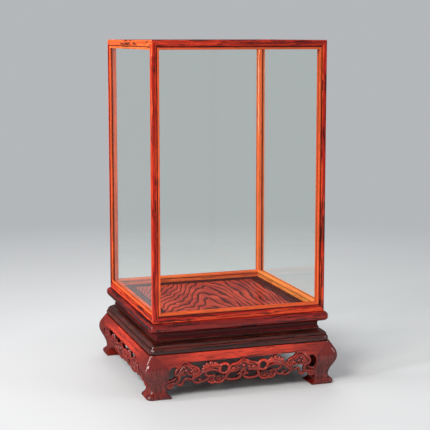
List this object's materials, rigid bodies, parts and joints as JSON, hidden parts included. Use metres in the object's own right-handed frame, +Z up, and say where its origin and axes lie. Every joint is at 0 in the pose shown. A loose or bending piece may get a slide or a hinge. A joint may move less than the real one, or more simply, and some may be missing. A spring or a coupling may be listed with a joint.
{
  "type": "glass display case",
  "caption": "Square glazed display case: a mitred wooden hood with glass sides and top, lifting straight off a carved, waisted stand on cabriole legs.",
  "frame": {"origin": "on the ground under the centre of the case", "axes": "+Z up, +X to the right seen from the front, the front faces -Y"},
  "size_m": [0.3118, 0.3118, 0.5325],
  "materials": {
    "hood_wood": "gloss lacquer over orange-red rosewood",
    "frame_wood": "gloss lacquer over dark red rosewood",
    "panel_wood": "satin lacquer over figured rosewood",
    "stand_wood": "gloss lacquer over dark rosewood",
    "carved_wood": "gloss lacquer over carved rosewood",
    "inner_wood": "bare hardwood",
    "glass": "clear float glass"
  },
  "bodies": {
    "stand": {"top_frame_front": "frame_wood", "top_frame_right": "frame_wood", "top_frame_back": "frame_wood", "top_frame_left": "frame_wood", "floor_panel": "panel_wood", "panel_batten": "inner_wood", "waist_front": "stand_wood", "waist_right": "stand_wood", "waist_back": "stand_wood", "waist_left": "stand_wood", "moulding_front": "stand_wood", "moulding_right": "stand_wood", "moulding_back": "stand_wood", "moulding_left": "stand_wood", "apron_front": "carved_wood", "apron_right": "carved_wood", "apron_back": "carved_wood", "apron_left": "carved_wood", "leg_front_left": "carved_wood", "leg_front_right": "carved_wood", "leg_back_right": "carved_wood", "leg_back_left": "carved_wood", "corner_block_front_left": "inner_wood", "corner_block_front_right": "inner_wood", "corner_block_back_right": "inner_wood", "corner_block_back_left": "inner_wood"},
    "hood": {"hood_post_front_left": "hood_wood", "hood_post_front_right": "hood_wood", "hood_post_back_right": "hood_wood", "hood_post_back_left": "hood_wood", "hood_top_rail_front": "hood_wood", "hood_top_rail_right": "hood_wood", "hood_top_rail_back": "hood_wood", "hood_top_rail_left": "hood_wood", "hood_bottom_rail_front": "hood_wood", "hood_bottom_rail_right": "hood_wood", "hood_bottom_rail_back": "hood_wood", "hood_bottom_rail_left": "hood_wood", "glass_front": "glass", "glass_right": "glass", "glass_back": "glass", "glass_left": "glass", "glass_top": "glass"}
  },
  "joints": [
    {"name": "hood_lift", "type": "slide", "parent": "stand", "child": "hood", "axis": [0, 0, 1], "range_m": [0, 0.42]}
  ]
}
